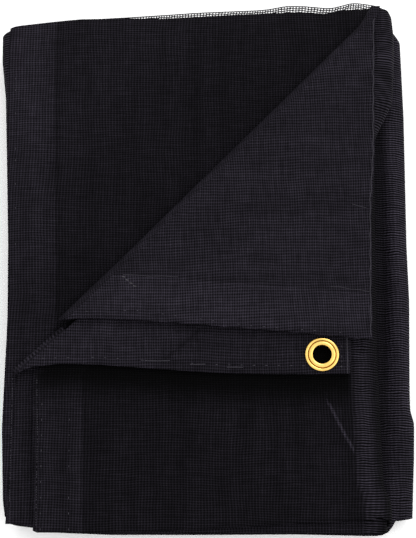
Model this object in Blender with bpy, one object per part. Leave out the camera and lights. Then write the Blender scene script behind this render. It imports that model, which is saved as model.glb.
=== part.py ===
"""A black mesh tarp, folded flat into a pack, with one corner turned over.

X runs to the right, Y away from the viewer, Z up. Sizes are in millimetres.
The cloth is one sheet, laid back and forth in twelve layers.
Layer 1 is the top one, and its upper left corner is turned over.
"""

import bisect
import math

import bpy

MM = 0.001

# Middle of the pack's outline, which stands at the origin
MIDDLE_X, MIDDLE_Y = -3.9, 10.6

# Cloth
SHEET_THICK = 2.0
LAYER_STEP = 3.4
LAYER_COUNT = 12
PACK_HIGH = SHEET_THICK + LAYER_STEP * (LAYER_COUNT - 1)

# Hem strip
STRIP_THICK = 1.6
STRIP_SEAT = 42.3
TONGUE_RISE = 2.5
MITRE_DEPTH = 3.6

# Turned corner
CORNER_RISE = 3.5
CORNER_TURN_DEPTH = 6.0
CORNER_TIP_DEPTH = 2.0
CORNER_EDGE_LIFT = 3.2

# Grommet, of two brass pieces
RING_X, RING_Y = 81.7, -63.4
BORE_RADIUS = 6.7
BARREL_RADIUS = 7.4
LIP_RADIUS = 9.6
FLANGE_RADIUS = 12.2
FIT = 0.3
ROUND_STEPS = 40

# Far edge of the layers
FAR_EDGE = (
    # (x, y)
    (-158.0, 187.5),
    (-149.2, 188.8),
    (-145.5, 190.4),
    (-132.6, 191.6),
    (-112.0, 194.0),
    (-97.0, 195.6),
    (-60.0, 196.4),
    (-36.0, 196.0),
    (16.7, 199.3),
    (70.0, 201.7),
    (89.0, 200.3),
    (104.0, 203.3),
    (124.6, 204.5),
    (135.2, 202.5),
    (140.0, 197.0),
)

# Far edge of layer 3, which reaches past the others
SHEER_EDGE = (
    # (x, y)
    (-158.0, 187.5),
    (-149.2, 188.8),
    (-112.0, 194.0),
    (-82.0, 197.0),
    (-60.0, 198.8),
    (-36.5, 200.5),
    (-6.0, 202.9),
    (41.0, 205.0),
    (51.0, 206.6),
    (58.7, 208.6),
    (73.9, 208.4),
    (92.9, 206.2),
    (102.1, 208.6),
    (109.8, 211.2),
    (119.7, 210.1),
    (132.0, 207.6),
    (135.6, 203.5),
    (140.0, 197.5),
)

# Near edge of layers 2 to 12
NEAR_EDGE = (
    # (x, y)
    (-152.0, -174.0),
    (-143.5, -177.0),
    (-141.0, -182.3),
    (-126.0, -184.0),
    (-121.0, -187.0),
    (-62.0, -189.4),
    (66.0, -188.7),
    (120.0, -190.0),
    (127.0, -189.2),
    (131.0, -186.6),
    (134.0, -179.5),
    (152.0, -178.0),
)

# Near edge of layer 1, the top one
TOP_NEAR_EDGE = (
    # (x, y)
    (-123.0, -187.7),
    (-120.5, -189.1),
    (-64.0, -189.1),
    (0.0, -186.7),
    (65.0, -182.5),
    (115.0, -180.4),
    (120.0, -177.7),
    (134.0, -176.0),
)

# How far each layer falls short of the far edge, and of the near edge
LAYER_TRIM = {
    # layer: (far, near)
    1: (0.0, 0.0),
    2: (0.0, 0.0),
    3: (0.0, 0.8),
    4: (1.5, 0.2),
    5: (3.0, 1.2),
    6: (4.5, 0.5),
    7: (3.0, 1.8),
    8: (5.0, 0.4),
    9: (4.0, 1.5),
    10: (5.5, 0.8),
    11: (6.0, 1.6),
    12: (5.0, 0.6),
}

# Rims of the folds, from near to far
RIMS = {
    "left": (
        # (y, x)
        (-190.0, -142.5),
        (-181.0, -142.8),
        (-174.0, -146.2),
        (-122.0, -148.4),
        (-34.0, -147.2),
        (26.0, -148.3),
        (88.0, -150.7),
        (151.0, -153.3),
        (184.0, -156.7),
        (204.0, -157.0),
    ),
    "lower right": (
        # (y, x)
        (-190.0, 147.4),
        (-164.0, 148.6),
        (-143.0, 149.8),
        (-115.0, 150.6),
        (-105.0, 148.0),
        (-88.0, 148.0),
        (-16.0, 149.6),
        (30.0, 148.8),
        (140.0, 149.4),
        (204.0, 148.2),
    ),
    "upper right": (
        # (y, x)
        (-190.0, 130.4),
        (-177.0, 130.4),
        (-171.0, 128.8),
        (-164.0, 125.2),
        (-123.0, 124.0),
        (-54.0, 122.5),
        (98.0, 124.0),
        (108.0, 127.3),
        (124.0, 135.2),
        (133.0, 138.4),
        (165.0, 140.2),
        (190.0, 140.9),
        (204.0, 139.8),
    ),
}

# Folds between two layers, in the order in which the cloth runs through them
FOLDS = (
    # (from_layer, to_layer, rim, inset, depth)
    (1, 6, "upper right", 0.0, 20.0),
    (6, 7, "left", 8.5, 3.0),
    (7, 12, "lower right", 0.0, 17.0),
    (12, 9, "left", 1.5, 6.0),
    (9, 10, "lower right", 9.0, 3.0),
    (10, 11, "left", 8.0, 3.0),
    (11, 8, "lower right", 4.0, 13.5),
    (8, 3, "left", 0.0, 9.0),
    (3, 4, "upper right", 13.0, 3.0),
    (4, 5, "left", 8.5, 3.0),
    (5, 2, "upper right", 3.7, 16.5),
)

# Free left edge of layer 1, from near to far: below the corner, then along the turned fold
TOP_LEFT_EDGE = (
    # (y, x)
    (-189.6, -122.8),
    (-150.0, -123.8),
    (-110.0, -124.6),
    (-75.0, -125.4),
    (-58.0, -111.0),
    (-44.0, -96.5),
    (-38.5, -108.2),
    (0.0, -70.5),
    (35.0, -36.2),
    (70.0, -1.8),
    (105.0, 32.6),
    (140.0, 66.9),
    (168.0, 94.4),
    (188.0, 114.0),
    (204.0, 123.0),
)
CORNER_FOLD_START = 6

# Free left edge of layer 2
SECOND_LEFT_EDGE = (
    # (y, x)
    (-181.5, -142.5),
    (-165.0, -145.0),
    (-115.0, -147.2),
    (-72.0, -146.3),
    (-36.0, -145.4),
    (10.0, -146.2),
    (54.0, -147.9),
    (132.0, -150.0),
    (165.0, -150.3),
    (191.0, -149.6),
)

# Near edge of the turned corner, from its tip to the right
CORNER_NEAR_EDGE = (
    # (x, y)
    (-108.2, -39.6),
    (-99.0, -37.8),
    (-63.0, -39.2),
    (0.0, -43.6),
    (66.0, -49.2),
    (117.3, -53.8),
)

# Right edge of the turned corner
CORNER_RIGHT_EDGE = (
    # (y, x)
    (-53.8, 117.3),
    (52.0, 119.7),
    (90.0, 122.6),
    (190.0, 125.2),
    (204.0, 130.0),
)

# Mitred fold of the hem strip, from its near end to its far end
MITRE = (
    # (x, y)
    (-140.0, -73.8),
    (-105.5, -42.2),
)

# Near edge of the hem strip
STRIP_NEAR_EDGE = (
    # (x, y)
    (-137.0, -77.0),
    (-131.0, -74.2),
    (-125.4, -72.0),
    (-106.0, -70.1),
    (-77.4, -70.6),
    (-41.6, -73.2),
    (0.0, -76.1),
    (51.6, -77.5),
    (102.3, -77.3),
)

# Far edge of the hem strip: fanned behind the mitre, then under the turned corner
STRIP_FAR_EDGE = (
    # (x, y)
    (-137.0, -61.6),
    (-125.4, -55.2),
    (-116.0, -49.4),
    (-102.5, -45.4),
    (-96.0, -39.0),
    (-90.0, -34.0),
    (-80.0, -31.0),
    (0.0, -31.5),
    (102.3, -34.5),
)

# Tongue of the strip, under the top layer: left edge, right edge and near end
TONGUE_LEFT_X = -142.6
TONGUE_RIGHT_X = -99.0
TONGUE_NEAR_Y = -183.0

# Soft rises and hollows of the whole pack
SWELLS = (
    # (x, y, reach_x, reach_y, rise)
    (-168.0, 90.0, 24.0, 150.0, -6.0),
    (-166.0, -120.0, 22.0, 90.0, -5.0),
    (-20.0, 226.0, 230.0, 24.0, -7.0),
    (0.0, -208.0, 200.0, 24.0, -5.0),
    (-70.0, 120.0, 60.0, 45.0, 0.9),
    (20.0, 60.0, 70.0, 50.0, 0.8),
    (60.0, -135.0, 50.0, 34.0, -1.0),
    (-60.0, -120.0, 45.0, 40.0, 0.8),
    (118.0, 120.0, 25.0, 60.0, 0.7),
    (130.5, -25.0, 5.5, 110.0, -9.5),
    (140.0, -25.0, 6.5, 130.0, 5.0),
)

# Where each flat run of cloth is measured, from its left end to its right
RUN_STATIONS = (0.0, 0.05, 0.14, 0.28, 0.44, 0.6, 0.76, 0.9, 0.953, 0.976, 1.0)
SHEER_STATIONS = (0.0, 0.04, 0.14, 0.3, 0.45, 0.6, 0.69, 0.74, 0.8, 0.86, 0.91, 0.96, 1.0)
CORNER_STATIONS = (0.0, 0.06, 0.15, 0.26, 0.38, 0.5, 0.62, 0.74, 0.85, 0.94, 1.0)


def between(start, end, share):
    return start + (end - start) * share


def soft_step(value):
    value = min(max(value, 0.0), 1.0)
    return value * value * (3.0 - 2.0 * value)


def read_edge(edge, position):
    """The value of a two-column edge table at this position."""
    places = [row[0] for row in edge]
    index = min(max(bisect.bisect_right(places, position), 1), len(edge) - 1)
    (start, low), (end, high) = edge[index - 1], edge[index]
    return between(low, high, (position - start) / (end - start))


def swell(x, y):
    return sum(
        rise * math.exp(-(((x - at_x) / reach_x) ** 2) - ((y - at_y) / reach_y) ** 2)
        for at_x, at_y, reach_x, reach_y, rise in SWELLS
    )


def settled(x, y, z):
    """The point after the pack has settled; the underside stays flat."""
    low = SHEET_THICK / 2
    return x, y, low + (z - low) * (1.0 + swell(x, y) / PACK_HIGH)


def layer_height(layer, x=0.0):
    """Middle of the layer's cloth; layer 1 rises at its left, over the strip's tongue."""
    height = SHEET_THICK / 2 + LAYER_STEP * (LAYER_COUNT - layer)
    if layer == 1:
        height += 2.0 * (1.0 - soft_step((x + 90.0) / 34.0))
    return height


ROW_SHARES = [
    (y - TOP_LEFT_EDGE[0][0]) / (TOP_LEFT_EDGE[-1][0] - TOP_LEFT_EDGE[0][0])
    for y, _ in TOP_LEFT_EDGE
]


def row_y(layer, x, share):
    far_trim, near_trim = LAYER_TRIM[layer]
    near = read_edge(TOP_NEAR_EDGE if layer == 1 else NEAR_EDGE, x) + near_trim
    far = read_edge(SHEER_EDGE if layer == 3 else FAR_EDGE, x) - far_trim
    return between(near, far, share)


def inward(fold):
    return 1.0 if fold[2] == "left" else -1.0


def rim_x(fold, share):
    y = between(TOP_LEFT_EDGE[0][0], TOP_LEFT_EDGE[-1][0], share)
    return read_edge(RIMS[fold[2]], y) + inward(fold) * fold[3]


def fold_depth(fold, share):
    """How far the rounded fold reaches; the two outer folds of the upper bundle tighten at the far edge."""
    depth = fold[4]
    if fold[2] == "upper right" and depth > 10.0:
        depth = between(depth, depth * 0.4, soft_step((share - 0.7) / 0.3))
    return depth


def fold_start_x(fold, share):
    return rim_x(fold, share) + inward(fold) * (SHEET_THICK / 2 + fold_depth(fold, share))


def fold_points(fold, share):
    """Points round a fold, between its two layers."""
    first, second = fold[:2]
    steps = 4 if abs(first - second) == 1 else 7
    start_x = fold_start_x(fold, share)
    depth = fold_depth(fold, share)
    start_z, end_z = layer_height(first), layer_height(second)
    points = []
    for step in range(1, steps):
        turn = math.pi * step / steps
        x = start_x - inward(fold) * depth * math.sin(turn)
        part = (1.0 - math.cos(turn)) / 2.0
        y = between(row_y(first, x, share), row_y(second, x, share), part)
        points.append((x, y, between(start_z, end_z, part)))
    return points


def run_points(layer, start_x, end_x, share):
    """Points along one flat layer; the stations count from its left end."""
    stations = SHEER_STATIONS if layer == 3 else RUN_STATIONS
    left_x, right_x = min(start_x, end_x), max(start_x, end_x)
    points = []
    for station in stations if start_x < end_x else reversed(stations):
        x = between(left_x, right_x, station)
        points.append((x, row_y(layer, x, share), layer_height(layer, x)))
    return points


def has_corner(row):
    return row >= CORNER_FOLD_START


def corner_turn_depth(row):
    y = TOP_LEFT_EDGE[row][0]
    return between(CORNER_TURN_DEPTH, CORNER_TIP_DEPTH, soft_step((y - 150.0) / 54.0))


def top_left_x(row):
    x = TOP_LEFT_EDGE[row][1]
    if has_corner(row):
        x += SHEET_THICK / 2 + corner_turn_depth(row)
    return x


def stack_row(row):
    """One cross-section of the twelve layers, from the top layer's left edge on."""
    share = ROW_SHARES[row]
    points = []
    at_x = top_left_x(row)
    for fold in FOLDS:
        end_x = fold_start_x(fold, share)
        points += run_points(fold[0], at_x, end_x, share)
        points += fold_points(fold, share)
        at_x = end_x
    last_y = row_y(2, -148.0, share)
    points += run_points(2, at_x, read_edge(SECOND_LEFT_EDGE, last_y), share)
    return [settled(*point) for point in points]


def corner_height(x, y):
    """Middle of the turned corner's cloth: over the strip it lies higher, and its near edge lifts."""
    height = layer_height(1, x) + CORNER_RISE
    near = read_edge(CORNER_NEAR_EDGE, x)
    over_strip = 1.0 - soft_step((y - near - 16.0) / 34.0)
    middle = math.exp(-(((x + 30.0) / 75.0) ** 2))
    edge = math.exp(-(((y - near) / 11.0) ** 2))
    strip_rise = 2.4 + 0.8 * soft_step((x - 15.0) / 30.0)
    return height + strip_rise * over_strip + (0.4 + middle) * edge * CORNER_EDGE_LIFT / 2.0


def corner_row(row):
    """The turned corner in this cross-section: its right edge first, then the fold down to layer 1."""
    fold_y = TOP_LEFT_EDGE[row][0]
    start_x = top_left_x(row)
    start_y = TOP_LEFT_EDGE[CORNER_FOLD_START][0]
    rows_up = (fold_y - start_y) / (TOP_LEFT_EDGE[-1][0] - start_y)
    points = []
    for station in reversed(CORNER_STATIONS):
        right_x = read_edge(CORNER_RIGHT_EDGE, fold_y)
        x = between(start_x, right_x, station)
        fan = read_edge(CORNER_NEAR_EDGE, x) - CORNER_NEAR_EDGE[0][1]
        y = fold_y + fan * (1.0 - rows_up) * soft_step(station * 8.0)
        points.append((x, y, corner_height(x, y)))
    top_z = points[-1][2]
    low_z = layer_height(1, start_x)
    for step in range(1, 6):
        turn = math.pi * step / 6
        part = (1.0 - math.cos(turn)) / 2.0
        x = start_x - corner_turn_depth(row) * math.sin(turn)
        points.append((x, fold_y, between(top_z, low_z, part)))
    return [settled(*point) for point in points]


def strip_height(x, y):
    """Middle of the strip above layer 1; near the grommet it is flat."""
    over = settled(x, y, layer_height(1, x) + SHEET_THICK / 2)[2]
    lift = 0.9 * math.exp(-(((x + 35.0) / 60.0) ** 2))
    loose = over + 0.5 + STRIP_THICK / 2 + lift
    return between(loose, STRIP_SEAT, soft_step((x - 30.0) / 28.0))


def strip_y(x, share):
    return between(read_edge(STRIP_NEAR_EDGE, x), read_edge(STRIP_FAR_EDGE, x), share)


def strip_row(share):
    """One row along the strip: up the tongue, round the mitred fold, then to the right end."""
    (left_x, left_y), (far_x, far_y) = MITRE
    fold_x = between(left_x, far_x, share)
    fold_y = between(left_y, far_y, share)
    length = math.hypot(far_x - left_x, far_y - left_y)
    in_x, in_y = (far_y - left_y) / length, -(far_x - left_x) / length
    inset = STRIP_THICK / 2 + MITRE_DEPTH
    start_x, start_y = fold_x + in_x * inset, fold_y + in_y * inset

    near_x = between(TONGUE_LEFT_X, TONGUE_RIGHT_X, share)
    points = []
    for part in (0.0, 0.2, 0.4, 0.6, 0.8, 0.93, 1.0):
        x = between(near_x, start_x, part)
        y = between(TONGUE_NEAR_Y, start_y, part)
        points.append(settled(x, y, layer_height(2) + TONGUE_RISE))
    low_z = points[-1][2]
    top_z = strip_height(start_x, start_y)
    for step in range(1, 6):
        turn = math.pi * step / 6
        reach = MITRE_DEPTH * math.sin(turn)
        part = (1.0 - math.cos(turn)) / 2.0
        points.append(
            (start_x - in_x * reach, start_y - in_y * reach, between(low_z, top_z, part))
        )
    end_x = STRIP_NEAR_EDGE[-1][0]
    slip = start_y - strip_y(start_x, share)
    for part in (0.0, 0.03, 0.06, 0.1, 0.16, 0.26, 0.37, 0.48, 0.6, 0.7, 0.79, 0.88, 1.0):
        x = between(start_x, end_x, part)
        y = strip_y(x, share) + slip * (1.0 - soft_step((x - start_x) / 25.0))
        points.append((x, y, strip_height(x, y)))
    return points


def clear_scene():
    for item in list(bpy.data.objects):
        bpy.data.objects.remove(item, do_unlink=True)


def plain_material(name, colour, metallic, roughness):
    material = bpy.data.materials.new(name)
    material.use_nodes = True
    shader = material.node_tree.nodes["Principled BSDF"]
    shader.inputs["Base Color"].default_value = (*colour, 1.0)
    shader.inputs["Metallic"].default_value = metallic
    shader.inputs["Roughness"].default_value = roughness
    return material


def new_object(name, points, faces, material):
    mesh = bpy.data.meshes.new(name)
    placed = [((x - MIDDLE_X) * MM, (y - MIDDLE_Y) * MM, z * MM) for x, y, z in points]
    mesh.from_pydata(placed, [], faces)
    mesh.validate()
    mesh.materials.append(material)
    mesh.shade_smooth()
    item = bpy.data.objects.new(name, mesh)
    bpy.context.collection.objects.link(item)
    return item


def grid_faces(rows):
    """Faces between neighbouring rows, each a list of point numbers or None."""
    faces = []
    for low, high in zip(rows, rows[1:]):
        for a, b, c, d in zip(low, low[1:], high[1:], high):
            if None not in (a, b, c, d):
                faces.append((a, b, c, d))
    return faces


def thicken(item, thick):
    solid = item.modifiers.new("Cloth thickness", "SOLIDIFY")
    solid.thickness = thick * MM
    solid.offset = 0.0
    solid.use_even_offset = True
    solid.use_quality_normals = True


def build_tarp(material):
    corner_columns = len(CORNER_STATIONS) + 5
    points, rows = [], []
    for row in range(len(TOP_LEFT_EDGE)):
        section = stack_row(row)
        corner = corner_row(row) if has_corner(row) else []
        numbers = [None] * (corner_columns - len(corner))
        for point in corner + section:
            numbers.append(len(points))
            points.append(point)
        rows.append(numbers)
    tarp = new_object("folded_tarp", points, grid_faces(rows), material)
    thicken(tarp, SHEET_THICK)
    return tarp


def build_strip(material):
    points, rows = [], []
    for share in (0.0, 0.17, 0.34, 0.5, 0.67, 0.84, 1.0):
        line = strip_row(share)
        rows.append(list(range(len(points), len(points) + len(line))))
        points += line
    strip = new_object("hem_strip", points, grid_faces(rows), material)
    thicken(strip, STRIP_THICK)

    bpy.ops.mesh.primitive_cylinder_add(
        vertices=ROUND_STEPS,
        radius=(BARREL_RADIUS + FIT) * MM,
        depth=12.0 * MM,
        location=((RING_X - MIDDLE_X) * MM, (RING_Y - MIDDLE_Y) * MM, STRIP_SEAT * MM),
    )
    cutter = bpy.context.object
    cutter.name = "eyelet_cutter"
    cutter.hide_render = True
    cutter.display_type = "WIRE"
    hole = strip.modifiers.new("Eyelet hole", "BOOLEAN")
    hole.operation = "DIFFERENCE"
    hole.solver = "EXACT"
    hole.object = cutter
    return strip


def turned_piece(name, profile, material):
    """A closed profile of (radius, height) points, turned round the grommet's axis."""
    points, rows = [], []
    for step in range(ROUND_STEPS):
        turn = 2.0 * math.pi * step / ROUND_STEPS
        start = len(points)
        for radius, height in reversed(profile):
            x = RING_X + radius * math.cos(turn)
            y = RING_Y + radius * math.sin(turn)
            points.append((x, y, height))
        rows.append(list(range(start, len(points))) + [start])
    rows.append(rows[0])
    return new_object(name, points, grid_faces(rows), material)


def build_grommet(material):
    cloth_low = STRIP_SEAT - STRIP_THICK / 2
    cloth_top = STRIP_SEAT + STRIP_THICK / 2
    flange_top = cloth_low - FIT
    washer_low = cloth_top + FIT
    washer_top = washer_low + 0.8
    lip_low = washer_top + FIT
    eyelet = (
        (BORE_RADIUS, flange_top - 0.7),
        (BORE_RADIUS + 0.4, flange_top - 1.0),
        (FLANGE_RADIUS - 0.5, flange_top - 1.0),
        (FLANGE_RADIUS, flange_top - 0.6),
        (FLANGE_RADIUS - 0.2, flange_top),
        (BARREL_RADIUS, flange_top),
        (BARREL_RADIUS, lip_low),
        (LIP_RADIUS - 0.4, lip_low),
        (LIP_RADIUS, lip_low + 0.25),
        (LIP_RADIUS - 0.4, lip_low + 0.8),
        (BARREL_RADIUS + 0.7, lip_low + 1.15),
        (BARREL_RADIUS - 0.2, lip_low + 0.9),
        (BORE_RADIUS, lip_low + 0.2),
    )
    washer = (
        (BARREL_RADIUS + FIT, washer_low),
        (FLANGE_RADIUS - 0.2, washer_low),
        (FLANGE_RADIUS, washer_low + 0.5),
        (FLANGE_RADIUS - 0.6, washer_low + 1.2),
        (FLANGE_RADIUS - 1.4, washer_low + 1.4),
        (FLANGE_RADIUS - 2.1, washer_low + 1.1),
        (LIP_RADIUS + 0.35, washer_top),
        (BARREL_RADIUS + FIT, washer_top),
    )
    turned_piece("grommet_eyelet", eyelet, material)
    turned_piece("grommet_washer", washer, material)


clear_scene()
cloth = plain_material("black mesh cloth", (0.014, 0.013, 0.016), 0.0, 0.62)
brass = plain_material("brass", (0.72, 0.50, 0.17), 1.0, 0.28)
build_tarp(cloth)
build_strip(cloth)
build_grommet(brass)
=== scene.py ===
"""The look of a black mesh tarp, folded flat into a pack, with one corner turned over.

X runs to the right, Y away from the viewer, Z up. Sizes are in millimetres unless a name says otherwise.
"""

import math

import bpy
import numpy as np
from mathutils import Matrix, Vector


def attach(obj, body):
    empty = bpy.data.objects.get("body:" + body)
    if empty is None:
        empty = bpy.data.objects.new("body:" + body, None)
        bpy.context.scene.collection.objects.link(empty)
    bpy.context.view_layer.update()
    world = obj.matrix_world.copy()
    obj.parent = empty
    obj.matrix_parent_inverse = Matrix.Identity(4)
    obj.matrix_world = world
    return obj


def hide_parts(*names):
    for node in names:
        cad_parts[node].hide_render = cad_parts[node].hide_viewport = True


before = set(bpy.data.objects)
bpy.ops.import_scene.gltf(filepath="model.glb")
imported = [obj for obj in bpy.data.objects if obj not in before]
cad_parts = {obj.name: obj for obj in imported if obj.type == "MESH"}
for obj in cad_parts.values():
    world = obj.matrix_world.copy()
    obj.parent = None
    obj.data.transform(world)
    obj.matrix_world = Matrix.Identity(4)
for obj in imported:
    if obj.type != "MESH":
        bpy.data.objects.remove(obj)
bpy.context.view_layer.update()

MM = 0.001

# Middle of the pack's outline, which stands at the origin
MIDDLE_X, MIDDLE_Y = -3.9, 10.6

# Cloth
SHEET_THICK = 2.0
LAYER_STEP = 3.4
LAYER_COUNT = 12
PACK_HIGH = SHEET_THICK + LAYER_STEP * (LAYER_COUNT - 1)
LENGTHWISE_THREAD_STEP = 2.15
CROSSWISE_THREAD_STEP = 1.75
HEM_WIDTH = 35.0

# Rise of the top layer over the strip's tongue: how high, where it fades and how softly
TOP_LEFT_RISE, TOP_RISE_X, TOP_RISE_FADE = 2.0, -90.0, 34.0

# Hem strip: its height at the grommet, and its lift and looseness to the left of that
STRIP_THICK = 1.6
STRIP_WIDTH = 44.0
STRIP_SEAT = 42.3
SEAT_X, SEAT_FADE = 30.0, 28.0
STRIP_GAP = 0.5
STRIP_LIFT, STRIP_LIFT_X, STRIP_LIFT_REACH = 0.9, -35.0, 60.0
TONGUE_RISE = 2.5
MITRE_DEPTH = 3.6
MITRE_CLOTH = 2.0
MITRE_FADE = 25.0

# Turned corner: its fold, its rise over the strip and the eyelet, and the lift of its near edge
CORNER_RISE = 3.5
CORNER_TURN_DEPTH = 6.0
CORNER_TIP_DEPTH = 2.0
CORNER_TIP_Y, CORNER_TIP_FADE = 150.0, 54.0
CORNER_FOLD_CLOTH = 14.0
CORNER_FAN_STEPS = 8.0
CORNER_HEM_INSET = 1.1
OVER_STRIP_RISE, OVER_STRIP_REACH, OVER_STRIP_FADE = 2.4, 16.0, 34.0
OVER_EYELET_RISE, OVER_EYELET_X, OVER_EYELET_FADE = 0.8, 15.0, 30.0
CORNER_EDGE_LIFT, EDGE_LIFT_BASE = 1.6, 0.4
EDGE_LIFT_X, EDGE_LIFT_REACH, EDGE_LIFT_DEPTH = -30.0, 75.0, 11.0

# Grommet, of two brass pieces
RING_X, RING_Y = 81.7, -63.4
BORE_RADIUS = 6.7
BARREL_RADIUS = 7.4
LIP_RADIUS = 9.6
FLANGE_RADIUS = 12.2
FIT = 0.3
BORE_EDGE_DROP = 0.6
EDGE_ROUND = 0.5
LIP_FOOT_INSET, LIP_FOOT, LIP_HEIGHT = 0.3, 0.2, 0.95
WASHER_THICK = 0.8
WASHER_INSET, WASHER_FOOT = 0.3, 0.45
WASHER_ROUND, WASHER_HEIGHT = 1.15, 0.95
WASHER_SEAT_DROP, WASHER_SEAT_PAST_LIP = 0.15, 0.1
STRIP_HOLE_RADIUS = BARREL_RADIUS + 1.6
TURNED_STEPS = 96

# Far edge of the layers
FAR_EDGE = (
    # (x, y)
    (-158.0, 187.5), (-149.2, 188.8), (-145.5, 190.4), (-132.6, 191.6), (-112.0, 194.0),
    (-97.0, 195.6), (-60.0, 196.4), (-36.0, 196.0), (16.7, 199.3), (70.0, 201.7), (89.0, 200.3),
    (104.0, 203.3), (124.6, 204.5), (135.2, 202.5), (140.0, 197.0),
)

# Far edge of layer 3, where a single ply of mesh reaches past the others
SHEER_EDGE = (
    # (x, y)
    (-82.0, 197.4), (-60.0, 198.8), (-36.5, 200.5), (-6.0, 202.9), (41.0, 205.0), (51.0, 206.6),
    (58.7, 208.6), (73.9, 208.4), (92.9, 206.2), (102.1, 208.6), (109.8, 211.2), (119.7, 210.1),
    (132.0, 207.6), (135.6, 203.5), (140.0, 197.5),
)

# Near edge of layers 2 to 12
NEAR_EDGE = (
    # (x, y)
    (-152.0, -174.0), (-143.5, -177.0), (-141.0, -182.3), (-126.0, -184.0), (-121.0, -187.0),
    (-62.0, -189.4), (66.0, -188.7), (120.0, -190.0), (127.0, -189.2), (131.0, -186.6),
    (134.0, -179.5), (152.0, -178.0),
)

# Near edge of layer 1, the top one
TOP_NEAR_EDGE = (
    # (x, y)
    (-123.0, -187.7), (-120.5, -189.1), (-64.0, -189.1), (0.0, -186.7), (65.0, -182.5),
    (115.0, -180.4), (120.0, -177.7), (134.0, -176.0),
)

# How far each layer falls short of the far edge, and of the near edge, from the top one down
LAYER_TRIM = (
    # (far, near)
    (0.0, 0.0), (0.0, 0.0), (0.5, 0.8), (1.5, 0.2), (3.0, 1.2), (4.5, 0.5),
    (3.0, 1.8), (5.0, 0.4), (4.0, 1.5), (5.5, 0.8), (6.0, 1.6), (5.0, 0.6),
)

# Rims of the folds, from near to far
RIMS = {
    "left": (
        # (y, x)
        (-190.0, -142.5), (-181.0, -142.8), (-174.0, -146.2), (-122.0, -148.4), (-34.0, -147.2),
        (26.0, -148.3), (88.0, -150.7), (151.0, -153.3), (184.0, -156.7), (204.0, -157.0),
    ),
    "lower right": (
        # (y, x)
        (-190.0, 147.4), (-164.0, 148.6), (-143.0, 149.8), (-115.0, 150.6), (-105.0, 148.0),
        (-88.0, 148.0), (-16.0, 149.6), (30.0, 148.8), (140.0, 149.4), (204.0, 148.2),
    ),
    "upper right": (
        # (y, x)
        (-190.0, 130.4), (-177.0, 130.4), (-171.0, 128.8), (-164.0, 125.2), (-123.0, 124.0),
        (-54.0, 122.5), (98.0, 124.0), (108.0, 127.3), (124.0, 135.2), (133.0, 138.4),
        (165.0, 140.2), (190.0, 140.9), (204.0, 139.8),
    ),
}

# Folds between two layers, in the order in which the cloth runs through them
FOLDS = (
    # (from_layer, to_layer, rim, inset, depth)
    (1, 6, "upper right", 0.0, 20.0),
    (6, 7, "left", 8.5, 3.0),
    (7, 12, "lower right", 0.0, 17.0),
    (12, 9, "left", 1.5, 6.0),
    (9, 10, "lower right", 9.0, 3.0),
    (10, 11, "left", 8.0, 3.0),
    (11, 8, "lower right", 4.0, 13.5),
    (8, 3, "left", 0.0, 9.0),
    (3, 4, "upper right", 13.0, 3.0),
    (4, 5, "left", 8.5, 3.0),
    (5, 2, "upper right", 3.7, 16.5),
)

# Outer folds of the upper bundle tighten at the far edge: to what share, and where along the pack
OUTER_FOLD_DEPTH = 10.0
TIGHT_SHARE, TIGHT_START, TIGHT_FADE = 0.4, 0.7, 0.3

# Free left edge of layer 1, from near to far: below the corner, then along the turned fold
TOP_LEFT_EDGE = (
    # (y, x)
    (-189.6, -122.8), (-150.0, -123.8), (-110.0, -124.6), (-75.0, -125.4), (-58.0, -111.0),
    (-44.0, -96.5), (-38.5, -108.2), (0.0, -70.5), (35.0, -36.2), (70.0, -1.8), (105.0, 32.6),
    (140.0, 66.9), (168.0, 94.4), (188.0, 114.0), (204.0, 123.0),
)
CORNER_FOLD_START = 6
CORNER_FOLD_END = 13
CORNER_FOLD_LINE = [(x, y) for y, x in (TOP_LEFT_EDGE[CORNER_FOLD_START], TOP_LEFT_EDGE[CORNER_FOLD_END])]

# Free left edge of layer 2
SECOND_LEFT_EDGE = (
    # (y, x)
    (-181.5, -142.5), (-165.0, -145.0), (-115.0, -147.2), (-72.0, -146.3), (-36.0, -145.4),
    (10.0, -146.2), (54.0, -147.9), (132.0, -150.0), (165.0, -150.3), (191.0, -149.6),
)
SECOND_EDGE_X = -148.0

# Near edge of the turned corner, from its tip to the right
CORNER_NEAR_EDGE = (
    # (x, y)
    (-108.2, -39.6), (-99.0, -37.8), (-63.0, -39.2), (0.0, -43.6), (66.0, -49.2), (117.3, -53.8),
)

# Right edge of the turned corner
CORNER_RIGHT_EDGE = (
    # (y, x)
    (-53.8, 117.3), (52.0, 119.7), (90.0, 122.6), (190.0, 125.2), (204.0, 130.0),
)

# Mitred fold of the hem strip, from its near end to its far end
MITRE = (
    # (x, y)
    (-140.0, -73.8), (-105.5, -42.2),
)

# Near edge of the hem strip
STRIP_NEAR_EDGE = (
    # (x, y)
    (-137.0, -77.0), (-131.0, -74.2), (-125.4, -72.0), (-106.0, -70.1), (-77.4, -70.6),
    (-41.6, -73.2), (0.0, -76.1), (51.6, -77.5), (102.3, -77.3),
)

# Far edge of the hem strip: fanned behind the mitre, then under the turned corner
STRIP_FAR_EDGE = (
    # (x, y)
    (-137.0, -61.6), (-125.4, -55.2), (-116.0, -49.4), (-102.5, -45.4), (-96.0, -39.0),
    (-90.0, -34.0), (-80.0, -31.0), (0.0, -31.5), (102.3, -34.5),
)

# Tongue of the strip, under the top layer: left edge, right edge and near end
TONGUE_LEFT_X = -142.6
TONGUE_RIGHT_X = -99.0
TONGUE_NEAR_Y = -183.0

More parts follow.
